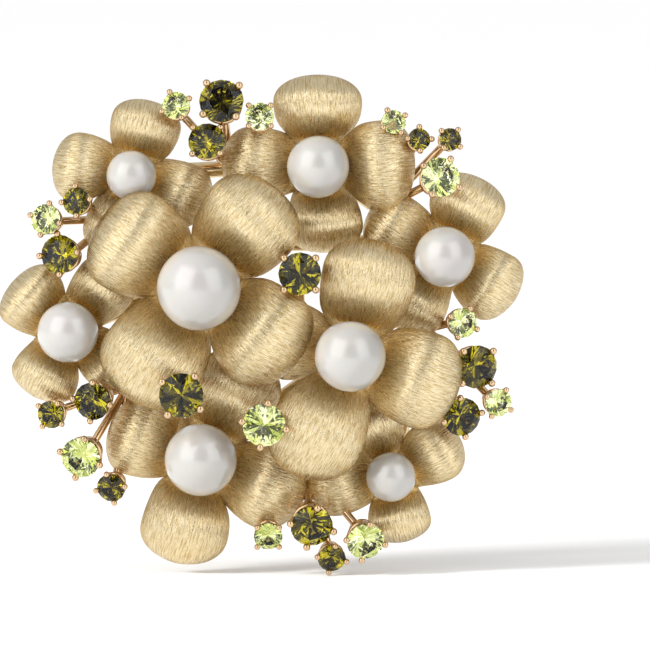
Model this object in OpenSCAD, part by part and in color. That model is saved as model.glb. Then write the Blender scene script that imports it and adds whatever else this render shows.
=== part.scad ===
/* [Pin stem] */
// Straight working span of the pin, from hinge axle to middle of the catch
pin_span = 28; // [24:1:28]
// Diameter of the pin wire over its working span
pin_d = 1.0; // [0.9:0.1:1.2]
// Length of the pin past the middle of the catch, point included
pin_overhang = 4.2; // [3.6:0.1:5]
// Length of the tapered point, which starts just before the catch
pin_point = 6.4; // [6.3:0.1:6.8]
// Height of the pin above the middle of the flower cluster
pin_rise = 8.8; // [8.4:0.1:9.2]

/* [Hinge] */
// Diameter of the hinge knuckle
knuckle_d = 2.4; // [2.2:0.1:2.6]
// Length of the hinge knuckle
knuckle_l = 1.7; // [1.4:0.1:2]
// Thickness of each hinge lug
lug_t = 0.8; // [0.6:0.1:1]
// Diameter of the hinge rivet
rivet_d = 0.9; // [0.8:0.1:1]
// Running clearance on the radius of every turning fit
fit = 0.05; // [0.03:0.01:0.08]

/* [Safety catch] */
// Diameter of the turning barrel
barrel_d = 3.0; // [2.8:0.1:3.2]
// Width of the slot that the pin drops through
catch_slot = 1.3; // [1.2:0.1:1.4]
// Length of the catch housing along the pin
housing_l = 2.6; // [2.2:0.1:3]
// Wall of the catch housing
housing_wall = 0.7; // [0.6:0.1:0.8]
// Thickness of the barrel's end flanges
flange_t = 0.6; // [0.5:0.1:0.7]
// Reach of the finger tab from the barrel's axis
tab_reach = 4.6; // [4:0.1:5]

/* [Back gallery] */
// Diameter of the gallery wire
gallery_d = 1.8; // [1.6:0.1:2]
// Distance from the pin's axis forward to the gallery wire's axis
gallery_gap = 5.7; // [5.6:0.1:6.2]
// Diameter of the post under each hub
post_d = 1.8; // [1.6:0.1:2]
// How far the gallery wire is let into the hinge and catch feet, as a share of its width
rail_bite = 0.3; // [0.25:0.05:0.4]

/* [Petals] */
// Height of the petal arch as a share of its length
arch_share = 0.17; // [0.12:0.01:0.2]
// Half thickness of a petal's front as a share of its half width
puff_front = 0.3; // [0.2:0.01:0.36]
// Half thickness of a petal's back as a share of its half width
puff_back = 0.12; // [0.08:0.01:0.2]
// How far a petal's long rims curl back, as a share of its half width
rim_curl = 0.26; // [0.1:0.01:0.35]
// Height of the outer flowers' throats over the gallery wire's axis
outer_throat = 2.0; // [1.8:0.1:3]
// Extra height of the two front flowers' throats
front_step = 4.2; // [4:0.1:5]

/* [Pearls] */
// Diameter of the peg glued into each pearl
peg_d = 0.9; // [0.8:0.1:1]
// Height of a pearl's middle over the throat as a share of its radius
pearl_seat = 0.95; // [0.9:0.01:1]

/* [Stones and claws] */
// Crown height of a stone as a share of its diameter
crown_share = 0.15; // [0.13:0.01:0.17]
// Depth of a stone below its girdle as a share of its diameter
pavilion_share = 0.43; // [0.41:0.01:0.44]
// Table width of a stone as a share of its diameter
table_share = 0.57; // [0.53:0.01:0.6]
// Outward lean of the stones round the edge
stone_tilt = 22; // [10:1:28]
// Claw thickness as a share of the stone's diameter
claw_share = 0.13; // [0.11:0.01:0.15]
// Thinnest claw
claw_min = 0.5; // [0.4:0.05:0.6]
// Diameter of the stems that carry the settings
stem_d = 0.9; // [0.7:0.1:1]

/* [Hidden] */
$fn = 48;
petal_sides = 12;
petal_rings = 12;
widest_at = 0.56;
tip_power = 2.3;
thick_power = 2.6;
root_share = 0.8;
root_plump = 0.35;
root_reach = 0.42;
arch_end = 165;
arch_power = 1.3;
seam = 0.06;
hub_share = 0.46;
cup_floor = -0.6;
cup_h = 1.5;
peg_share = 0.55;
girdle_share = 0.015;
seat_share = 0.6;
foot_share = 0.28;
plate_t = 0.5;
petal_gold = [0.85, 0.72, 0.48];
claw_gold = [0.76, 0.56, 0.38];
pearl_white = [0.94, 0.92, 0.88];
dark_stone = [0.38, 0.4, 0.12];
light_stone = [0.75, 0.85, 0.5];

// Flowers, measured from the middle of the cluster as seen from the front.
// Each row: name, x, y, extra height of the throat, pearl diameter and the
// petals, each [direction, length, half width, lean forward in degrees].
FLOWERS = [
    ["centre_left", -6.6, 4.5, front_step, 9.3,
        [[147, 13.1, 5.85, 2], [52, 13.7, 5.6, 3], [324, 13.7, 5.8, 6], [238, 14.7, 5.8, 2]]],
    ["centre_right", 9.9, -3.0, front_step, 7.8,
        [[77, 12.9, 5.2, 1], [340, 12.6, 5.4, 2], [246, 14.7, 5.3, 2], [170, 9.4, 4.4, -17]]],
    ["right", 20.3, 7.6, 0, 6.7,
        [[65, 9.4, 4.2, 0], [329, 9.25, 4, 0], [238, 9.7, 3.6, -2], [150, 9.6, 3.75, -2]]],
    ["left", -21.1, -0.7, 0, 6.75,
        [[140, 8.2, 4, 0], [243, 8.3, 3.8, 0], [52, 9.2, 3.5, -2], [322, 8.6, 3.3, -2]]],
    ["lower_left", -6.5, -14.7, 0, 8,
        [[163, 10.7, 4.5, 0], [256, 12.1, 4.9, 0], [336, 12.3, 4.5, 0], [62, 12.9, 4.8, -2]]],
    ["top", 6.4, 17.5, 0, 6.9,
        [[91, 10, 4.9, 0], [178, 10.6, 4.1, 0], [277, 9.7, 3.7, -2], [357, 10.8, 4.35, 8]]],
    ["lower_right", 14.4, -16.7, 0, 5.5,
        [[29, 8.7, 3.6, 0], [282, 7.6, 3.5, 0], [188, 9.5, 3.6, -4], [110, 10.1, 3.3, -2]]],
    ["upper_left", -14.1, 16.5, 0, 5.55,
        [[74, 8.4, 3.9, 0], [173, 8.8, 3.85, 0], [338, 9.2, 3.6, -4], [250, 9.5, 3.2, -2]]]];

// Stones in groups. Each row: name, the point of the gallery that carries it, tilt
// and the stones, each [x, y, diameter, claw turn, height, 1 for a dark stone].
GROUPS = [
    ["top_left", [-3.2, 17], stone_tilt,
        [[-9.2, 24.2, 3.1, 25, 10.5, 0], [-4.2, 24.7, 4.9, 40, 10.5, 1],
         [-5.8, 20.3, 4.1, 45, 11, 1], [0, 23, 3.2, 45, 10.5, 0]]],
    ["top_right", [13.4, 12.6], stone_tilt,
        [[14.7, 22.4, 2.7, 30, 10.5, 0], [17.5, 20.5, 2.5, 0, 10.5, 1],
         [20.9, 20.5, 2.5, 50, 10.5, 1], [19.8, 16.4, 4.4, 60, 12, 0]]],
    ["upper_left", [-16.1, 11.5], stone_tilt,
        [[-20.1, 13.75, 3.1, 5, 11.5, 1], [-23.5, 11.7, 3.4, 75, 10.5, 0],
         [-22, 7.85, 4.3, 5, 10.5, 1]]],
    ["lower_left", [-14.6, -7], stone_tilt,
        [[-18.4, -8.25, 4.2, 84, 11.5, 1], [-23, -9.8, 3.1, 55, 10.5, 1],
         [-19.7, -14.5, 4.5, 75, 11, 0], [-16.4, -17.9, 3.2, 12, 10.5, 1]]],
    ["right", [18.3, -0.7], stone_tilt,
        [[22.3, 0.35, 3.3, 65, 11, 0], [23.8, -4.5, 4.8, 43, 11, 1],
         [22.2, -10, 4.3, 10, 11, 1], [26.2, -8.5, 3.1, 60, 10.5, 0]]],
    ["bottom", [5, -15.8], stone_tilt,
        [[0.9, -23.2, 3.2, 45, 11, 0], [5.7, -22, 4.7, 77, 12, 1],
         [7.9, -25.7, 3.1, 78, 10.5, 1], [11.6, -23.7, 4.2, 80, 11.5, 0]]],
    ["centre", [4.6, -0.7], 0, [[4.4, 6, 4.7, 45, 15.2, 1]]],
    ["inner_left", [-6.5, -5.5], 0, [[-8.5, -7.1, 4.9, 55, 17.6, 1]]],
    ["inner_low", [0.5, -9.7], 0, [[0.5, -10.5, 4.7, 80, 16, 0]]]];

function flower_at(n) = [FLOWERS[n][1], FLOWERS[n][2]];
function picked(group, dark) = [for (s = group[3]) if (s[5] == dark) s];
SHADES = [["light", 0, light_stone], ["dark", 1, dark_stone]];

eyelet_d = 2 * post_d;
eyelet_h = gallery_d + 0.6;
throat = gallery_gap + outer_throat;
hinge_x = -pin_span / 2;
catch_x = pin_span / 2;
rail_left = hinge_x - 3.4;
rail_right = catch_x + 5;
foot_l = gallery_gap - rail_bite * gallery_d;
base_t = 1;
barrel_r = barrel_d / 2;
housing_r = barrel_r + fit + housing_wall;
rim_order = [2, 5, 7, 3, 4, 6];
bar_ends = [[0, 3], [0, 1], [0, 7], [1, 2], [1, 6], [0, 4], [1, 4]];

// Places its children in the front view: x to the right, y up, height forward.
module on_front(x, y, height) {
    translate([x, -height, y - pin_rise]) rotate([90, 0, 0]) children();
}

// A round wire from one point to another.
module wire(from, to, d) {
    run = to - from;
    flat = norm([run[0], run[1]]);
    translate(from)
        rotate([0, atan2(flat, run[2]), atan2(run[1], run[0])])
            cylinder(d = d, h = norm(run));
}

// ---- Petals ----

// Half width at share u of the way from root to tip, as a share of the widest.
function outline(u) =
    u < widest_at
        ? root_share + (1 - root_share) * sin(90 * u / widest_at)
        : sqrt(max(0, 1 - pow((u - widest_at) / (1 - widest_at), tip_power)));

// Thickness at share u, as a share of the thickest.
function plump(u) =
    u < 0.5
        ? root_plump + (1 - root_plump) * sin(180 * u)
        : sqrt(max(0, 1 - pow(2 * u - 1, thick_power)));

function arch(u) = pow(sin(arch_end * u), arch_power);

// Half the angle between petal p and the next petal of flower f on one side.
function half_gap(f, p, side) =
    min([for (q = f[5]) if (q != p) (side * (q[0] - p[0]) + 720) % 360]) / 2;

// One point of the petal's skin: share u along it, angle a round its section.
// Beside the pearl it narrows, to stop short of the seams with its neighbours.
function skin(u, a, f, p) =
    let (length = p[1], half = p[2], lean = p[3],
         root = root_reach * f[4],
         x = root + (length - root) * u,
         rise = length * arch_share * arch(u),
         edge = rise + half * puff_front * sign(lean),
         reach = x * cos(lean) - edge * sin(lean),
         seam_y = reach * tan(half_gap(f, p, sign(cos(a)))) - seam,
         wide = half * outline(u),
         y = min(wide, seam_y) * cos(a),
         curl = wide > 0 ? rim_curl * y * y / wide : 0,
         puff = half * plump(u) * sin(a) * (sin(a) > 0 ? puff_front : puff_back))
    [x, y, rise - curl + puff];

module petal(f, p) {
    n = petal_sides;
    m = petal_rings;
    points = concat(
        [for (i = [0:m - 1], k = [0:n - 1]) skin(sin(90 * i / m), 360 * k / n, f, p)],
        [skin(1, 0, f, p)]);
    polyhedron(points, concat(
        [[for (k = [0:n - 1]) k]],
        [for (i = [0:m - 2], k = [0:n - 1])
            [i * n + k, (i + 1) * n + k, i * n + (k + 1) % n]],
        [for (i = [0:m - 2], k = [0:n - 1])
            [i * n + (k + 1) % n, (i + 1) * n + k, (i + 1) * n + (k + 1) % n]],
        [for (k = [0:n - 1]) [(m - 1) * n + k, m * n, (m - 1) * n + (k + 1) % n]]));
}

module petals(f) {
    color(petal_gold)
        on_front(f[1], f[2], throat + f[3])
            for (p = f[5])
                rotate(p[0]) rotate([0, -p[3], 0]) petal(f, p);
}

// ---- Hubs and pearls ----

module pearl_ball(d) {
    translate([0, 0, pearl_seat * d / 2]) sphere(d = d);
}

// The cup that the petals and the pearl sit in, its peg, and its post to the gallery.
module hub(f) {
    d = f[4];
    post_l = outer_throat + f[3] + eyelet_h / 2;
    color(claw_gold)
        on_front(f[1], f[2], throat + f[3]) {
            difference() {
                translate([0, 0, cup_floor]) cylinder(r = hub_share * d, h = cup_h);
                pearl_ball(d);
            }
            translate([0, 0, cup_floor]) cylinder(d = peg_d, h = peg_share * d - cup_floor);
            translate([0, 0, -post_l]) cylinder(d = post_d, h = post_l + cup_floor / 2);
        }
}

module pearl(f) {
    color(pearl_white)
        on_front(f[1], f[2], throat + f[3])
            difference() {
                pearl_ball(f[4]);
                translate([0, 0, cup_floor])
                    cylinder(d = peg_d, h = peg_share * f[4] - cup_floor);
            }
}

// ---- Stones and claws ----

// Places a stone's own frame: girdle at height 0, table forward, leaning outward.
module at_stone(s, tilt) {
    on_front(s[0], s[1], s[4])
        rotate(atan2(s[1], s[0])) rotate([0, tilt, 0]) rotate(-atan2(s[1], s[0])) children();
}

module gem(d) {
    table_r = table_share * d / 2;
    girdle = girdle_share * d;
    rotate_extrude()
        polygon([[0, -pavilion_share * d], [d / 2, -girdle], [d / 2, girdle],
                 [table_r, crown_share * d], [0, crown_share * d]]);
}

// Four beaded claws on a seat plate, with a rail between.
module claws(d, turn) {
    claw_d = max(claw_min, claw_share * d);
    foot_r = foot_share * d;
    foot_z = -seat_share * d;
    top_r = d / 2 + 0.1;
    top_z = 0.07 * d;
    bead_d = 1.35 * claw_d;
    rail_d = 0.8 * claw_d;
    for (k = [0:3])
        rotate(turn + 90 * k) {
            wire([foot_r, 0, foot_z], [top_r, 0, top_z], claw_d);
            translate([top_r, 0, top_z]) sphere(d = bead_d);
        }
    translate([0, 0, foot_z - plate_t / 2]) cylinder(r = foot_r + claw_d / 2, h = plate_t);
    translate([0, 0, foot_z / 2])
        rotate_extrude() translate([(foot_r + top_r) / 2, 0]) circle(d = rail_d);
}

// Middle of a setting's seat plate, in the front view's own axes.
function seat_of(s, tilt) =
    let (reach = seat_share * s[2], a = atan2(s[1], s[0]))
    [s[0] - reach * sin(tilt) * cos(a), s[1] - reach * sin(tilt) * sin(a),
     s[4] - reach * cos(tilt)];

module claw_group(g) {
    root = [g[1][0], g[1][1], gallery_gap];
    color(claw_gold)
        difference() {
            union() {
                for (s = g[3]) {
                    at_stone(s, g[2]) claws(s[2], s[3]);
                    on_front(0, 0, 0) wire(root, seat_of(s, g[2]), stem_d);
                }
            }
            for (s = g[3]) at_stone(s, g[2]) gem(s[2]);
        }
}

module stones(g, shade) {
    color(shade[2])
        for (s = picked(g, shade[1])) at_stone(s, g[2]) gem(s[2]);
}

// ---- Gallery: the openwork back that carries everything ----

// An eyelet that a hub's post is riveted through.
module eyelet(p) {
    translate([p[0], p[1], -eyelet_h / 2]) cylinder(d = eyelet_d, h = eyelet_h);
}

// A gallery wire between two eyelets, ending inside their walls.
module gallery_wire(from, to) {
    way = (to - from) / norm(to - from);
    inset = (post_d + eyelet_d) / 4;
    wire([for (v = from + inset * way) v, 0], [for (v = to - inset * way) v, 0], gallery_d);
}

module post_bore(p) {
    translate([p[0], p[1], -eyelet_h]) cylinder(d = post_d, h = 2 * eyelet_h);
}

module gallery_rim() {
    color(petal_gold)
        on_front(0, 0, gallery_gap)
            difference() {
                union() {
                    for (i = [0:len(rim_order) - 1]) {
                        here = flower_at(rim_order[i]);
                        eyelet(here);
                        gallery_wire(here, flower_at(rim_order[(i + 1) % len(rim_order)]));
                    }
                }
                for (n = rim_order) post_bore(flower_at(n));
            }
}

module gallery_bars() {
    color(petal_gold)
        on_front(0, 0, gallery_gap)
            difference() {
                union() {
                    for (n = [0, 1]) eyelet(flower_at(n));
                    for (b = bar_ends) gallery_wire(flower_at(b[0]), flower_at(b[1]));
                }
                for (n = [0, 1]) post_bore(flower_at(n));
            }
}

module rail_bar(d) {
    wire([rail_left, -gallery_gap, 0], [rail_right, -gallery_gap, 0], d);
}

module pin_rail() {
    color(petal_gold)
        rail_bar(gallery_d);
}

// ---- Hinge, pin and safety catch ----

module hinge_base() {
    lug_h = knuckle_l + 2 * (lug_t + fit);
    base_l = 1.6 * knuckle_d;
    slot_floor = base_t + knuckle_d / 4 - foot_l;
    color(petal_gold)
        translate([hinge_x, 0, 0])
            difference() {
                union() {
                    translate([0, 0, -lug_h / 2]) cylinder(d = knuckle_d, h = lug_h);
                    translate([-knuckle_d / 2, -foot_l, -lug_h / 2])
                        cube([knuckle_d, foot_l, lug_h]);
                    translate([-base_l / 2, -foot_l, -lug_h / 2])
                        cube([base_l, base_t, lug_h]);
                }
                translate([-knuckle_d, slot_floor, -knuckle_l / 2 - fit])
                    cube([2 * knuckle_d, foot_l + knuckle_d, knuckle_l + 2 * fit]);
                translate([0, 0, -lug_h]) cylinder(d = rivet_d, h = 2 * lug_h);
                translate([-hinge_x, 0, 0]) rail_bar(gallery_d);
            }
}

module hinge_rivet() {
    lug_h = knuckle_l + 2 * (lug_t + fit);
    head_t = 0.3;
    color(claw_gold)
        translate([hinge_x, 0, 0]) {
            translate([0, 0, -lug_h / 2]) cylinder(d = rivet_d, h = lug_h);
            for (side = [0, 1])
                mirror([0, 0, side])
                    translate([0, 0, lug_h / 2]) cylinder(d1 = 1.7 * rivet_d, d2 = rivet_d, h = head_t);
        }
}

module pin_stem() {
    tip_d = 0.2;
    straight = pin_span + pin_overhang - pin_point;
    color("silver")
        translate([hinge_x, 0, 0])
            difference() {
                union() {
                    translate([0, 0, -knuckle_l / 2]) cylinder(d = knuckle_d, h = knuckle_l);
                    rotate([0, 90, 0]) {
                        cylinder(d = pin_d, h = straight);
                        translate([0, 0, straight])
                            cylinder(d1 = pin_d, d2 = tip_d, h = pin_point);
                    }
                }
                translate([0, 0, -knuckle_l])
                    cylinder(d = rivet_d + 2 * fit, h = 2 * knuckle_l);
            }
}

module catch_housing() {
    flare = 0.8;
    color(petal_gold)
        translate([catch_x - housing_l / 2, 0, 0])
            difference() {
                union() {
                    rotate([0, 90, 0]) cylinder(r = housing_r, h = housing_l);
                    translate([0, -foot_l, -housing_r / 2]) cube([housing_l, foot_l, housing_r]);
                    translate([-flare, -foot_l, -housing_r])
                        cube([housing_l + 2 * flare, base_t, 2 * housing_r]);
                }
                translate([-housing_l / 2, 0, 0]) rotate([0, 90, 0])
                    cylinder(r = barrel_r + fit, h = 2 * housing_l);
                translate([-housing_l / 2, 0, -catch_slot / 2])
                    cube([2 * housing_l, 2 * housing_r, catch_slot]);
                translate([housing_l / 2 - catch_x, 0, 0]) rail_bar(gallery_d);
            }
}

module catch_barrel() {
    barrel_l = housing_l + 2 * fit;
    tab_w = 1.8;
    color(claw_gold)
        translate([catch_x, 0, 0])
            difference() {
                union() {
                    rotate([0, 90, 0]) cylinder(d = barrel_d, h = barrel_l, center = true);
                    for (side = [0, 1])
                        mirror([side, 0, 0])
                            translate([barrel_l / 2, 0, 0]) rotate([0, 90, 0])
                                cylinder(r = housing_r, h = flange_t);
                    translate([barrel_l / 2, -tab_w / 2, -tab_reach])
                        cube([flange_t, tab_w, tab_reach - 1]);
                    translate([barrel_l / 2, 0, -tab_reach]) rotate([0, 90, 0])
                        cylinder(d = tab_w, h = flange_t);
                }
                rotate([0, 90, 0]) cylinder(d = catch_slot, h = 2 * barrel_l, center = true);
                translate([-barrel_l, 0, -catch_slot / 2])
                    cube([2 * barrel_l, 2 * housing_r, catch_slot]);
            }
}

gallery_rim();
gallery_bars();
pin_rail();
hinge_base();
hinge_rivet();
pin_stem();
catch_housing();
catch_barrel();
for (f = FLOWERS) {
    petals(f);
    hub(f);
    pearl(f);
}
for (g = GROUPS) {
    claw_group(g);
    for (s = SHADES)
        stones(g, s);
}
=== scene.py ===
"""The brooch's looks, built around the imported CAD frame. Metres, +Z up, flowers facing -Y.

Each petal, pearl and stone is measured from its CAD node and rebuilt as a fine mesh in the
same place. Every other CAD node keeps its shape and gets a finished material.
"""

import math
import random

import bmesh
import bpy
import numpy as np
from mathutils import Matrix, Vector


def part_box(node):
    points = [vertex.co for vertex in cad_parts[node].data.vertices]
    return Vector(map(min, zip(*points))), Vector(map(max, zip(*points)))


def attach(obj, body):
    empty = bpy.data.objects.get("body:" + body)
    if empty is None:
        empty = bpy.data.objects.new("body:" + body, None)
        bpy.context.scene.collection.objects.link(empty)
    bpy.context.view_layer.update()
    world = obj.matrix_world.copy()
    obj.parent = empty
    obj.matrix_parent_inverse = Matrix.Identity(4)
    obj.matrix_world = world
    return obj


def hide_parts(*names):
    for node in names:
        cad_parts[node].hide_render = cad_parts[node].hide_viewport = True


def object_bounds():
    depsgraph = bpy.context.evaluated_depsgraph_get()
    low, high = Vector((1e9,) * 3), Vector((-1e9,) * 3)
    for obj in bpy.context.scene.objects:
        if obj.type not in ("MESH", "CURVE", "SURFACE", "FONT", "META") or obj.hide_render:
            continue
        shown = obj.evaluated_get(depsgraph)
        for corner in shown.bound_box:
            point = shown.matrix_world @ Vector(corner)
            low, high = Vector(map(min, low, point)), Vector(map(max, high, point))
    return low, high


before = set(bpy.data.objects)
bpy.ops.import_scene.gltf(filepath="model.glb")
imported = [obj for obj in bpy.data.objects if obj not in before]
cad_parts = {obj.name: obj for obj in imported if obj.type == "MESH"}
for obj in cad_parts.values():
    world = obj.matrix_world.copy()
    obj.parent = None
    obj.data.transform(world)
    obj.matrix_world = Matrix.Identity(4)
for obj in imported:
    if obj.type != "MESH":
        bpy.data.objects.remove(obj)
cad_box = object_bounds()

MM = 0.001
WELD = 1e-6
BODY = "brooch"
rng = random.Random(7)

# ---- Petal form: the CAD petals' rule, but closed against each other at the seams ----
ARCH_SHARE = 0.17                # rise of the arch, of the petal's length
ARCH_TURN = math.radians(165)    # how far through a half turn the arch runs
ARCH_POWER = 1.3
PUFF_FRONT = 0.30                # bulge to the front and to the back, of the half width
PUFF_BACK = 0.12
PUFF_POWER = 2.6
ROOT_PUFF = 0.35                 # bulge left at the root, of the full one
RIM_CURL = 0.26                  # how far the rims curl back, of the half width
WIDEST_AT = 0.56                 # place of the widest section, of the length
ROOT_SHARE = 0.80                # width at the root, of the full one
TIP_POWER = 2.3
SEAM = -0.12 * MM                # below zero: neighbours run into each other, with no gap
SEAM_POWER = 16                  # how sharply a section narrows where it meets its seam
ROOT_REACH = 0.42                # where the petal starts, of the pearl's diameter
TUCK_REACH = 0.27                # and how far in under the pearl it is drawn on
TUCK_RINGS = 4
PEARL_SEAT = 0.95                # throat behind the pearl's centre, of its radius
PETAL_COUNT = 4
TIPS_APART = math.radians(45)    # two tips are never closer than this
ALONG = 64                       # rings along a petal, and points round each
ROUND = 56

# ---- How much petals differ from each other ----
SWAY = 0.05                      # bend to one side, of the half width
SWELL = 0.04                     # one side fuller than the other
CREASES = (0.5, 2.6)             # how closely its soft creases lie
CREASE_DEPTH = 0.03              # of the bulge
CREASE_DRIFT = 7                 # how far they shift along the petal, in radians

# ---- Painted shade on the brushed gold: where it lies, and how dark it gets there ----
ROOT_SHADE = 0.55
ROOT_SHADE_FROM = 0.9            # where it is that much, of the pearl's radius; more inside
ROOT_SHADE_FADE = 0.17           # gone this much further out, of the petal's length
TIP_SHADE = 0.8
TIP_SHADE_FROM = 0.94
RIM_SHADE = 0.75
RIM_SHADE_POWER = 12
BACK_SHADE = 0.4                 # least shade on the back, of the rim's

# ---- Pearl form ----
DRILL_RADIUS = 0.45 * MM
DRILL_FLOOR = 0.2                # its floor lies this far behind the centre, of the radius
PEARL_WOBBLE = (0.001, 0.004)    # how far out of round, of the radius
LOBE_COUNTS = (2, 3, 5)
LOBE_TURN = 6.3                  # lobes start anywhere in about one turn
PEARL_RINGS = 56
PEARL_ROUND = 72

# ---- Stone form: a brilliant's measures, of its radius ----
TABLE = 0.57                     # how far out the table's corners lie
CROWN = 0.30                     # height of the table over the middle of the girdle
GIRDLE = 0.03                    # half the girdle's thickness
PAVILION = 0.86                  # depth of the culet below the middle of the girdle
LOW_FLAT = 0.22                  # how far out the lower girdle facets end
GIRDLE_SHELL = 0.93              # points beyond this share of the furthest are the girdle's

# ---- Materials ----
STROKES = "strokes"              # texture places in mm, across and along the strokes
SEED_RANGE = 90                  # each petal and facet reads its noise somewhere in this
NOISE_LOW = 0.25                 # noise rarely leaves this range
NOISE_HIGH = 0.75
MIX_A, MIX_B, MIX_RESULT = 6, 7, 2    # a colour Mix node's sockets


# ---- Node and mesh helpers ----

def names_of(prefix):
    return sorted(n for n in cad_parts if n.startswith(prefix))


def points_of(node):
    """A CAD node's vertices, as an array in metres."""
    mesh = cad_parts[node].data
    flat = np.empty(len(mesh.vertices) * 3)
    mesh.vertices.foreach_get("co", flat)
    return flat.reshape(-1, 3)


def loose_parts(node):
    """The vertices of each separate solid of a CAD node."""
    bm = bmesh.new()
    bm.from_mesh(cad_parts[node].data)
    bmesh.ops.remove_doubles(bm, verts=bm.verts, dist=WELD)
    left, parts = set(bm.verts), []
    while left:
        todo = [left.pop()]
        part = []
        while todo:
            v = todo.pop()
            part.append(tuple(v.co))
            for e in v.link_edges:
                w = e.other_vert(v)
                if w in left:
                    left.remove(w)
                    todo.append(w)
        parts.append(np.array(part))
    bm.free()
    return sorted(parts, key=lambda p: tuple(p.mean(0).round(6)))


def ball(node):
    """A round node's centre and radius."""
    low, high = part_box(node)
    return (Vector(low) + Vector(high)) / 2, (high[0] - low[0]) / 2


def piece(name, verts, faces, material, nodes, uvs=None, smooth=True):
    """A new mesh object that rides on the brooch and stands for some CAD nodes."""
    mesh = bpy.data.meshes.new(name)
    mesh.from_pydata([tuple(v) for v in verts], [], faces)
    mesh.polygons.foreach_set("use_smooth", [smooth] * len(mesh.polygons))
    if uvs is not None:
        layer = mesh.uv_layers.new(name=STROKES)
        layer.data.foreach_set("uv", [x for corner in uvs for x in corner])
    mesh.update()
    obj = bpy.data.objects.new(name, mesh)
    bpy.context.scene.collection.objects.link(obj)
    mesh.materials.append(material)
    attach(obj, BODY)
    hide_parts(*nodes)
    return obj


# ---- Materials ----

class Nodes:
    """A short way to build a node material."""

    def __init__(self, name):
        self.material = bpy.data.materials.new(name)
        self.material.use_nodes = True
        self.tree = self.material.node_tree
        self.shader = self.tree.nodes["Principled BSDF"]

    def add(self, kind, **values):
        node = self.tree.nodes.new("ShaderNode" + kind)
        for key, value in values.items():
            setattr(node, key, value)
        return node

    def link(self, a, out, b, into):
        self.tree.links.new(a.outputs[out], b.inputs[into])

    def set(self, **values):
        for key, value in values.items():
            self.shader.inputs[key.replace("_", " ")].default_value = value

    def stretched_noise(self, across, along, detail, seed):
        """Noise drawn out along the strokes: cells per millimetre each way."""
        uv = self.add("UVMap", uv_map=STROKES)
        scale = self.add("Mapping")
        scale.inputs["Scale"].default_value = (across, along, 1)
        scale.inputs["Location"].default_value = (seed, seed, 0)
        self.link(uv, "UV", scale, "Vector")
        noise = self.add("TexNoise", noise_dimensions="2D")
        noise.inputs["Scale"].default_value = 1
        noise.inputs["Detail"].default_value = detail
        noise.inputs["Roughness"].default_value = 0.6
        self.link(scale, "Vector", noise, "Vector")
        return noise

    def noise(self, scale, detail=2.0, rough=0.5):
        """Even noise over the object's own place, in cells per metre."""
        where = self.add("TexCoord")
        noise = self.add("TexNoise")
        noise.inputs["Scale"].default_value = scale
        noise.inputs["Detail"].default_value = detail
        noise.inputs["Roughness"].default_value = rough
        self.link(where, "Object", noise, "Vector")
        return noise

    def ramp(self, source, out, stops):
        ramp = self.add("ValToRGB")
        ramp.color_ramp.elements[0].position = stops[0][0]
        ramp.color_ramp.elements[0].color = stops[0][1]
        ramp.color_ramp.elements[1].position = stops[-1][0]
        ramp.color_ramp.elements[1].color = stops[-1][1]
        for place, colour in stops[1:-1]:
            ramp.color_ramp.elements.new(place).color = colour
        self.link(source, out, ramp, "Fac")
        return ramp

    def spread(self, source, out, low, high):
        """Maps a noise's usual range onto low..high."""
        node = self.add("MapRange")
        node.inputs["From Min"].default_value = NOISE_LOW
        node.inputs["From Max"].default_value = NOISE_HIGH
        node.inputs["To Min"].default_value = low
        node.inputs["To Max"].default_value = high
        self.link(source, out, node, "Value")
        return node

    def bump(self, source, out, strength, depth, under=None):
        node = self.add("Bump")
        node.inputs["Strength"].default_value = strength
        node.inputs["Distance"].default_value = depth
        self.link(source, out, node, "Height")
        if under:
            self.link(under, "Normal", node, "Normal")
        return node


def brushed_gold():
    """Pale gold with strokes cut along each petal in two sizes, darkened with painted shade near
    the pearl, along the rims, at the tips and on the back.
    """
    m = Nodes("brushed_gold")
    m.set(Metallic=1.0, Anisotropic=0.6)
    tangent = m.add("Tangent", direction_type="UV_MAP", uv_map=STROKES)
    m.link(tangent, "Tangent", m.shader, "Tangent")
    fine = m.stretched_noise(10, 1.1, 2.0, 3.1)
    deep = m.stretched_noise(6, 0.8, 2.0, 8.7)
    tone = m.ramp(deep, "Fac", [(0.32, (0.56, 0.42, 0.21, 1)), (0.44, (0.73, 0.58, 0.33, 1)),
                                (0.62, (0.84, 0.71, 0.46, 1))])
    # painted shade: a per-point mask mixes the strokes' tone towards dark golden brown
    painted_shade = m.add("Attribute", attribute_name="painted_shade")
    shade_mix = m.add("Mix", data_type="RGBA")
    m.link(painted_shade, "Fac", shade_mix, "Factor")
    m.link(tone, "Color", shade_mix, MIX_A)
    shade_mix.inputs[MIX_B].default_value = (0.52, 0.33, 0.10, 1)
    m.link(shade_mix, MIX_RESULT, m.shader, "Base Color")
    rough = m.spread(fine, "Fac", 0.22, 0.34)
    m.link(rough, "Result", m.shader, "Roughness")
    low = m.bump(deep, "Fac", 1.0, 0.09 * MM)
    top = m.bump(fine, "Fac", 1.0, 0.07 * MM, low)
    m.link(top, "Normal", m.shader, "Normal")
    return m.material


def polished_gold(name, base, roughness, grain):
    """Bright gold with faint polishing haze and handling marks."""
    m = Nodes(name)
    m.set(Metallic=1.0)
    haze = m.noise(900, 3.0)
    dark = tuple(0.82 * c for c in base)
    tone = m.ramp(haze, "Fac", [(0.3, (*dark, 1)), (0.7, (*base, 1))])
    m.link(tone, "Color", m.shader, "Base Color")
    rough = m.spread(haze, "Fac", roughness * 0.7, roughness * 1.4)
    m.link(rough, "Result", m.shader, "Roughness")
    marks = m.noise(2600, 3.0, 0.6)
    m.link(m.bump(marks, "Fac", grain, 0.01 * MM), "Normal", m.shader, "Normal")
    return m.material


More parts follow.
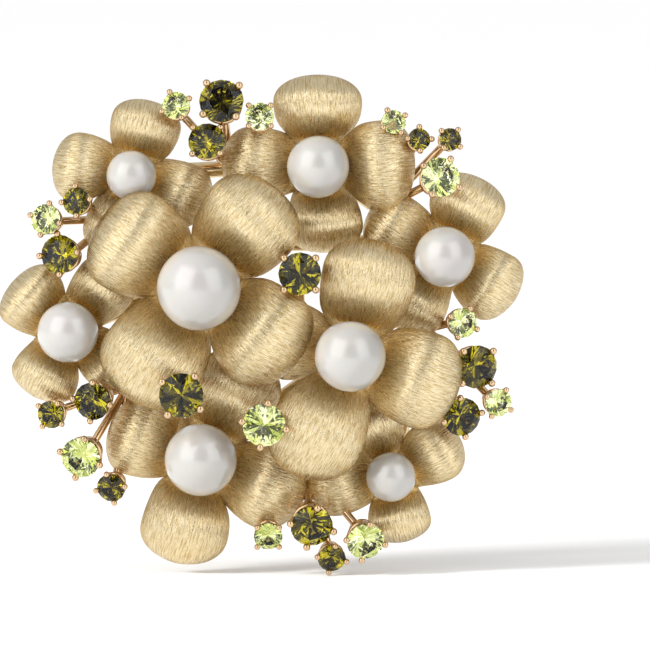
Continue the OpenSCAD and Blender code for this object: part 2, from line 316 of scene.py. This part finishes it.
def nacre():
    """Cream pearl: soft body, faint rose and green drift, glossy skin."""
    m = Nodes("nacre")
    drift = m.noise(260, 2.0)
    tone = m.ramp(drift, "Fac", [(0.3, (0.41, 0.395, 0.365, 1)), (0.5, (0.43, 0.415, 0.39, 1)),
                                 (0.7, (0.44, 0.415, 0.40, 1))])
    m.link(tone, "Color", m.shader, "Base Color")
    m.set(Roughness=0.3, IOR=2.0, Coat_Weight=1.0, Coat_Roughness=0.14, Coat_IOR=1.6,
          Subsurface_Weight=0.15, Subsurface_Scale=0.001)
    skin = m.noise(1500, 2.0)
    m.link(m.bump(skin, "Fac", 0.04, 0.02 * MM), "Normal", m.shader, "Normal")
    return m.material


def gem_crown(name, tint):
    """The clear front of a coloured stone."""
    m = Nodes(name)
    drift = m.noise(500, 1.0)
    pale = tuple(min(1.0, 1.15 * c) for c in tint)
    tone = m.ramp(drift, "Fac", [(0.35, (*tint, 1)), (0.65, (*pale, 1))])
    m.link(tone, "Color", m.shader, "Base Color")
    m.set(Roughness=0.0, IOR=1.9, Specular_Tint=(0.32, 0.33, 0.35, 1), Transmission_Weight=1.0)
    return m.material


def gem_back(name, stops):
    """The facets behind the girdle, which throw the light back. Each facet lies at a single
    place in the noise, and so gets its own shade from near black to bright: painted dark facets
    and flashes over the stone's own colour."""
    m = Nodes(name)
    facet = m.stretched_noise(1, 1, 0.0, 0.0)
    tone = m.ramp(facet, "Fac", stops)
    m.link(tone, "Color", m.shader, "Base Color")
    m.set(Metallic=1.0, Roughness=0.06)
    return m.material


PETAL_GOLD = brushed_gold()
CLAW_GOLD = polished_gold("claw_gold", (0.76, 0.54, 0.33), 0.12, 0.15)
GALLERY_GOLD = polished_gold("gallery_gold", (0.84, 0.66, 0.38), 0.20, 0.12)
FINDING_GOLD = polished_gold("finding_gold", (0.86, 0.68, 0.42), 0.18, 0.15)
PIN_GOLD = polished_gold("pin_gold", (0.90, 0.76, 0.52), 0.14, 0.1)
NACRE = nacre()
# back facet colours run from near black to bright: painted dark facets and flashes over each
# stone's own colour
DARK_GEM = (gem_crown("dark_crown", (0.50, 0.47, 0.20)),
            gem_back("dark_back", [(0.34, (0.05, 0.04, 0.005, 1)),
                                   (0.46, (0.32, 0.28, 0.035, 1)),
                                   (0.58, (0.95, 0.90, 0.20, 1))]))
LIGHT_GEM = (gem_crown("light_crown", (0.91, 0.93, 0.76)),
             gem_back("light_back", [(0.34, (0.64, 0.69, 0.30, 1)),
                                     (0.47, (0.84, 0.88, 0.54, 1)),
                                     (0.60, (0.96, 0.98, 0.84, 1))]))


# ---- Petals ----

def outline(u):
    """Half width at u, 0 at the root to 1 at the tip, of the widest."""
    if u < WIDEST_AT:
        return ROOT_SHARE + (1 - ROOT_SHARE) * math.sin(math.pi / 2 * u / WIDEST_AT)
    return math.sqrt(max(0.0, 1 - ((u - WIDEST_AT) / (1 - WIDEST_AT)) ** TIP_POWER))


def plump(u):
    """Bulge at u, of the fullest, which is halfway along."""
    if u < 0.5:
        return ROOT_PUFF + (1 - ROOT_PUFF) * math.sin(math.pi * u)
    return math.sqrt(max(0.0, 1 - ((u - 0.5) / 0.5) ** PUFF_POWER))


def arch(u):
    """Rise of the petal's spine at u, of the arch's height."""
    return math.sin(ARCH_TURN * u) ** ARCH_POWER


TIP_RISE = ARCH_SHARE * arch(1)


def measured_petals(flower):
    """The throat, the pearl's radius, and each petal's direction, length, half width and
    lean, from the CAD nodes."""
    hub, _ = ball("hub_" + flower)
    pearl, radius = ball("pearl_" + flower)
    throat = Vector((hub.x, pearl.y + PEARL_SEAT * radius, hub.z))
    p = points_of("petals_" + flower)
    east, north, rise = p[:, 0] - throat.x, p[:, 2] - throat.z, throat.y - p[:, 1]
    reach = np.hypot(east, north)
    turn = np.arctan2(north, east)
    tips = []
    for k in np.argsort(-reach):
        apart = [abs(math.remainder(turn[k] - turn[t], math.tau)) for t in tips]
        if all(a > TIPS_APART for a in apart):
            tips.append(k)
        if len(tips) == PETAL_COUNT:
            break
    off = np.abs((turn[:, None] - turn[tips][None] + math.pi) % math.tau - math.pi)
    owner = off.argmin(1)
    petals = []
    for n, t in enumerate(tips):
        lean = math.atan2(rise[t], reach[t]) - math.atan(TIP_RISE)
        length = math.hypot(rise[t], reach[t]) / math.hypot(1, TIP_RISE)
        mine = owner == n
        side = -east[mine] * math.sin(turn[t]) + north[mine] * math.cos(turn[t])
        petals.append((turn[t], length, np.abs(side).max(), lean))
    return throat, radius, petals


def half_gap(turn, turns, side):
    """Half the angle to the next petal on one side."""
    return min((side * (t - turn)) % math.tau for t in turns if t != turn) / 2


def soft_min(a, b):
    """The smaller of two lengths, rounded over where they are nearly equal."""
    return (a ** -SEAM_POWER + b ** -SEAM_POWER) ** (-1 / SEAM_POWER)


def painted_shade_at(x, u, side, front, radius, length):
    """How much painted shade a spot gets, 0 to 1: near the pearl, along the rims, at the tips and
    behind. A rule of thumb on where the spot lies on its petal, blind to what stands beside it."""
    root = max(0.0, 1 - (x - ROOT_SHADE_FROM * radius) / (ROOT_SHADE_FADE * length))
    tip = max(0.0, (u - TIP_SHADE_FROM) / (1 - TIP_SHADE_FROM))
    if front > 0:
        rim = abs(side) ** RIM_SHADE_POWER
    else:
        rim = BACK_SHADE + (1 - BACK_SHADE) * abs(side)
    return min(1.0, max(ROOT_SHADE * root, TIP_SHADE * tip ** 2, RIM_SHADE * rim))


def petal_rings(throat, radius, petal, turns):
    """Rings of points round the petal, from under the pearl out to the tip. Each starts at
    the middle of the back, and comes with its distance along the petal, how much its strokes
    fan out, and the painted shade of each of its points."""
    turn, length, half, lean = petal
    root, tuck = ROOT_REACH * 2 * radius, TUCK_REACH * 2 * radius
    sway = rng.uniform(-SWAY, SWAY) * half
    swell = rng.uniform(-SWELL, SWELL)
    crease = rng.uniform(*CREASES)
    slopes = [math.tan(half_gap(turn, turns, side)) for side in (1, -1)]
    across = Vector((-math.sin(turn), 0, math.cos(turn)))
    outward = Vector((math.cos(turn), 0, math.sin(turn)))
    front = Vector((0, -1, 0))
    places = [(0, tuck + (root - tuck) * i / TUCK_RINGS) for i in range(TUCK_RINGS)]
    for i in range(ALONG + 1):
        u = math.sin(math.pi / 2 * i / ALONG)
        places.append((u, root + (length - root) * u))
    rings = []
    for u, x in places:
        wide, thick = half * outline(u), half * plump(u)
        rise = length * ARCH_SHARE * arch(u)
        reach = x * math.cos(lean)
        left, right = (soft_min(wide, reach * slope - SEAM) if wide else 0 for slope in slopes)
        ring, shades = [], []
        for k in range(ROUND if wide else 1):
            a = math.tau * (k / ROUND - 0.25)
            c, s = math.cos(a), math.sin(a)
            y = c * (left if c > 0 else right)
            curl = RIM_CURL * y * y / wide if wide else 0
            crests = math.sin(crease * 2 * c + CREASE_DRIFT * u)
            ripple = 1 + CREASE_DEPTH * crests + swell * c
            h = rise - curl + thick * s * (PUFF_FRONT if s > 0 else PUFF_BACK) * ripple
            y += sway * math.sin(math.pi * u) ** 2
            flat = reach - h * math.sin(lean)
            up = x * math.sin(lean) + h * math.cos(lean)
            ring.append(throat + outward * flat + across * y + front * up)
            shades.append(painted_shade_at(x, u, c, s, radius, length))
        fan = max(1, half / (left + right) * 2) if u < WIDEST_AT else 1
        rings.append((ring, x, fan, shades))
    return rings


def stroke_places(ring, x, fan, seed):
    """Texture places in mm: how far round the ring from the middle of the front, and how far
    along the petal. The seed gives each petal strokes of its own."""
    if len(ring) == 1:
        return [(seed, x / MM + seed)] * (ROUND + 1)
    steps = [(ring[(k + 1) % ROUND] - ring[k]).length / MM for k in range(ROUND)]
    total = np.concatenate([[0], np.cumsum(steps)])
    total = (total - total[ROUND // 2]) * fan
    return [(t + seed, x / MM + seed) for t in total]


def make_flower(flower):
    """One flower's petals as one piece, each a closed skin of rings."""
    throat, radius, petals = measured_petals(flower)
    verts, faces, uvs, painted_shade = [], [], [], []
    turns = [petal[0] for petal in petals]
    for petal in petals:
        rings = petal_rings(throat, radius, petal, turns)
        seed = rng.uniform(0, SEED_RANGE)
        marks = [stroke_places(ring, x, fan, seed) for ring, x, fan, _ in rings]
        start = len(verts)
        for ring, _, _, shades in rings:
            verts += ring
            painted_shade += shades
        faces.append(tuple(start + k for k in reversed(range(ROUND))))
        uvs += [marks[0][k] for k in reversed(range(ROUND))]
        for i in range(len(rings) - 2):
            for k in range(ROUND):
                a, b = start + i * ROUND + k, start + i * ROUND + (k + 1) % ROUND
                faces.append((a, b, b + ROUND, a + ROUND))
                uvs += [marks[i][k], marks[i][k + 1], marks[i + 1][k + 1], marks[i + 1][k]]
        last, tip = start + (len(rings) - 2) * ROUND, len(verts) - 1
        for k in range(ROUND):
            faces.append((last + k, last + (k + 1) % ROUND, tip))
            middle_mark = ((marks[-2][k][0] + marks[-2][k + 1][0]) / 2, marks[-1][0][1])
            uvs += [marks[-2][k], marks[-2][k + 1], middle_mark]
    obj = piece("petals." + flower, verts, faces, PETAL_GOLD, ["petals_" + flower],
                uvs=uvs)
    # stores each point's painted shade, which the petal material reads
    obj.data.attributes.new("painted_shade", "FLOAT", "POINT").data.foreach_set("value", painted_shade)


# ---- Pearls ----

def make_pearl(flower):
    """A pearl turned about its drill hole, very slightly out of round."""
    node = "pearl_" + flower
    centre, radius = ball(node)
    lobes = [(rng.uniform(*PEARL_WOBBLE), rng.uniform(0, LOBE_TURN), k) for k in LOBE_COUNTS]
    rings, n = PEARL_RINGS, PEARL_ROUND
    start_angle = math.asin(DRILL_RADIUS / radius)
    verts = []
    for i in range(rings):
        polar = start_angle + (math.pi - start_angle) * i / rings
        back = radius * math.cos(polar)
        for k in range(n):
            a = math.tau * k / n
            wobble = 1 - sum(s * (1 + math.cos(m * a + f)) * math.sin(polar) for s, f, m in lobes)
            r = radius * wobble * math.sin(polar)
            verts.append(centre + Vector((r * math.cos(a), back, r * math.sin(a))))
    verts.append(centre + Vector((0, -radius, 0)))
    faces = []
    for i in range(rings - 1):
        for k in range(n):
            a, b = i * n + k, i * n + (k + 1) % n
            faces.append((a, a + n, b + n, b))
    tip = rings * n
    faces += [(tip - n + k, tip, tip - n + (k + 1) % n) for k in range(n)]
    depth = len(verts)
    inner = DRILL_FLOOR * radius
    verts += [v - Vector((0, v.y - centre.y - inner, 0)) for v in verts[:n]]
    faces += [(k, (k + 1) % n, depth + (k + 1) % n, depth + k) for k in range(n)]
    faces.append(tuple(depth + k for k in range(n)))
    piece("pearl." + flower, verts, faces, NACRE, [node])


# ---- Stones ----

def stone_places(node):
    """Each stone's girdle centre, table direction and diameter."""
    places = []
    for part in loose_parts(node):
        size = np.linalg.norm(part - part.mean(0), axis=1)
        rim = part[size > GIRDLE_SHELL * size.max()]
        centre = rim.mean(0)
        _, _, axes = np.linalg.svd(rim - centre)
        normal = Vector(axes[2])
        if normal.y > 0:
            normal = -normal
        diameter = 2 * np.linalg.norm(rim - centre, axis=1).mean()
        places.append((Vector(centre), normal, diameter))
    return places


def brilliant(diameter):
    """A round brilliant: table, stars, kites, girdle, lower girdle facets, mains, culet."""
    r = diameter / 2
    table, crown, girdle, pavilion = TABLE * r, CROWN * r, GIRDLE * r, PAVILION * r
    verts, faces = [], []

    def ring(radius, height, count, turn=0.0):
        start = len(verts)
        for k in range(count):
            a = math.tau * k / count + turn
            verts.append(Vector((radius * math.cos(a), radius * math.sin(a), height)))
        return start

    step = math.pi / 8
    flat = (table * math.cos(step) + r) / 2    # kites end halfway from table to girdle
    kite_height = crown + (flat - table) / (r - table) * (girdle - crown)
    t = ring(table, crown, 8)
    m = ring(flat / math.cos(step), kite_height, 8, step)
    g = ring(r, girdle, 16)
    b = ring(r, -girdle, 16)
    low_flat = LOW_FLAT * r
    low_height = -girdle - (r - low_flat) / r * (pavilion - girdle)
    p = ring(low_flat / math.cos(step), low_height, 8, step)
    culet = len(verts)
    verts.append(Vector((0, 0, -pavilion)))
    faces.append(tuple(t + k for k in range(8)))
    for k in range(8):
        n, last = (k + 1) % 8, (k - 1) % 8
        g0, g1, g2 = g + 2 * k, g + 2 * k + 1, g + (2 * k + 2) % 16
        b0, b1, b2 = b + 2 * k, b + 2 * k + 1, b + (2 * k + 2) % 16
        faces += [(t + n, t + k, m + k), (t + k, m + last, g0, m + k)]
        faces += [(m + k, g0, g1), (m + k, g1, g2)]
        faces += [(g0, b0, b1, g1), (g1, b1, b2, g2)]
        faces += [(b0, p + k, b1), (b1, p + k, b2)]
        faces.append((b0, p + last, culet, p + k))
    return verts, faces


def make_stones(node, materials):
    """One group of stones: facets in front of the girdle clear, those behind it reflecting."""
    verts, faces, uvs, behind = [], [], [], []
    for centre, normal, diameter in stone_places(node):
        v, f = brilliant(diameter)
        aim = normal.to_track_quat("Z", "Y").to_matrix()
        spin = Matrix.Rotation(rng.uniform(0, math.tau), 3, "Z")
        start = len(verts)
        verts += [centre + aim @ spin @ x for x in v]
        for face in f:
            faces.append(tuple(start + k for k in face))
            uvs += [(rng.uniform(0, SEED_RANGE), rng.uniform(0, SEED_RANGE))] * len(face)
            behind.append(sum(v[k].z for k in face) < 0)
    obj = piece(node.replace("_stones_", "_gems."), verts, faces, materials[0], [node],
                uvs=uvs, smooth=False)
    obj.data.materials.append(materials[1])
    obj.data.polygons.foreach_set("material_index", behind)
    bm = bmesh.new()
    bm.from_mesh(obj.data)
    bmesh.ops.recalc_face_normals(bm, faces=bm.faces)
    bm.to_mesh(obj.data)
    bm.free()


# ---- The whole object ----

def dress(prefix, material):
    """Gives CAD nodes whose shape is right a finished material."""
    for node in names_of(prefix):
        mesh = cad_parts[node].data
        mesh.materials.clear()
        mesh.materials.append(material)


FLOWERS = [n[len("petals_"):] for n in names_of("petals_")]
for name in FLOWERS:
    make_flower(name)
    make_pearl(name)
for name in names_of("dark_stones_"):
    make_stones(name, DARK_GEM)
for name in names_of("light_stones_"):
    make_stones(name, LIGHT_GEM)
dress("claws_", CLAW_GOLD)
dress("hub_", GALLERY_GOLD)
dress("gallery_", GALLERY_GOLD)
dress("pin_rail", GALLERY_GOLD)
dress("hinge_", FINDING_GOLD)
dress("catch_", FINDING_GOLD)
dress("pin_stem", PIN_GOLD)


# ---- Floor, light and camera ----

TENT = 0.66             # the tent's brightness, and how much brighter the camera sees it
BACKDROP = 1.5
FLOOR_REACH = 3.0
SENSOR = 36             # mm
VIEW_WIDTH = 0.0715     # across the picture, at the flowers
DISTANCE = 0.75
LIFT = math.radians(4)
TARGET_X = 0.00715
TARGET_Z = -0.0088


def sky():
    """A white tent overhead, to the sides and behind, darker round the camera, where the
    lens looks in. The camera itself sees a plain bright backdrop all round."""
    world = bpy.data.worlds.new("studio")
    bpy.context.scene.world = world
    world.use_nodes = True
    nodes, links = world.node_tree.nodes, world.node_tree.links
    tent = nodes["Background"]
    where = nodes.new("ShaderNodeTexCoord")
    split = nodes.new("ShaderNodeSeparateXYZ")
    links.new(where.outputs["Generated"], split.inputs[0])

    def step(socket, start, stop, low, high):
        """Eases from low to high as the socket goes from start to stop."""
        node = nodes.new("ShaderNodeMapRange")
        node.interpolation_type = "SMOOTHSTEP"
        for key, value in (("From Min", start), ("From Max", stop), ("To Min", low),
                           ("To Max", high)):
            node.inputs[key].default_value = value
        links.new(socket, node.inputs["Value"])
        return node.outputs["Result"]

    def maths(kind, a, b=None):
        node = nodes.new("ShaderNodeMath")
        node.operation = kind
        links.new(a, node.inputs[0])
        if isinstance(b, float):
            node.inputs[1].default_value = b
        elif b is not None:
            links.new(b, node.inputs[1])
        return node.outputs[0]

    sides = step(maths("ABSOLUTE", split.outputs["X"]), 0.10, 0.42, 0.16, 1.0)
    behind = step(split.outputs["Y"], -0.35, 0.25, 0.0, 1.0)
    above = step(split.outputs["Z"], 0.55, 0.85, 0.0, 1.0)
    seen = nodes.new("ShaderNodeLightPath").outputs["Is Camera Ray"]
    backdrop = maths("MULTIPLY", seen, BACKDROP)
    level = maths("MAXIMUM", maths("MAXIMUM", sides, behind), maths("MAXIMUM", above, backdrop))
    links.new(level, tent.inputs["Strength"])
    tent.inputs["Color"].default_value = (TENT, TENT, TENT, 1)


def studio():
    """A paper floor, a softbox on each side, a low sun for the shadow, and the camera."""
    low, high = (Vector(v) for v in cad_box)
    centre = (low + high) / 2
    mesh = bpy.data.meshes.new("floor")
    far = FLOOR_REACH
    mesh.from_pydata([(-far, -far, low.z), (far, -far, low.z), (far, far, low.z),
                      (-far, far, low.z)], [], [(0, 1, 2, 3)])
    floor = bpy.data.objects.new("floor", mesh)
    bpy.context.scene.collection.objects.link(floor)
    paper = Nodes("pale_paper")
    paper.set(Roughness=0.9)
    grain = paper.noise(400, 2.0)
    tone = paper.ramp(grain, "Fac", [(0.0, (0.965, 0.965, 0.965, 1)),
                                     (1.0, (0.985, 0.985, 0.985, 1))])
    paper.link(tone, "Color", paper.shader, "Base Color")
    mesh.materials.append(paper.material)

    def aim(obj, place):
        obj.location = centre + Vector(place)
        obj.rotation_euler = (-Vector(place)).to_track_quat("-Z", "Y").to_euler()
        bpy.context.scene.collection.objects.link(obj)

    def softbox(name, place, width, height, radiance):
        """An area light with the brightness of its face given, not its power."""
        light = bpy.data.lights.new(name, "AREA")
        light.shape = "RECTANGLE"
        light.size, light.size_y = width, height
        light.energy = radiance * math.pi * width * height
        obj = bpy.data.objects.new(name, light)
        obj.visible_camera = False
        aim(obj, place)

    softbox("box_left", (-0.46, -0.44, 0.36), 0.66, 0.80, 1.3)
    softbox("box_right", (0.48, -0.44, 0.34), 0.52, 0.80, 1.15)

    low_key = bpy.data.lights.new("low_key", "SUN")
    low_key.energy = 3.1
    low_key.angle = math.radians(14)
    obj = bpy.data.objects.new("low_key", low_key)
    obj.visible_glossy = False
    aim(obj, (-0.78, -0.42, 0.42))

    sky()

    scene = bpy.context.scene
    scene.view_settings.view_transform = "Standard"

    # The camera looks along +Y from a little above.
    camera = bpy.data.cameras.new("camera")
    camera.sensor_width = SENSOR
    camera.lens = SENSOR * DISTANCE / VIEW_WIDTH
    obj = bpy.data.objects.new("camera", camera)
    target = Vector((TARGET_X, centre.y, TARGET_Z))
    back = Vector((0, -math.cos(LIFT), math.sin(LIFT))) * DISTANCE
    obj.location = target + back
    obj.rotation_euler = (-back).to_track_quat("-Z", "Y").to_euler()
    camera.clip_start = 0.01
    bpy.context.scene.collection.objects.link(obj)
    scene.camera = obj


studio()
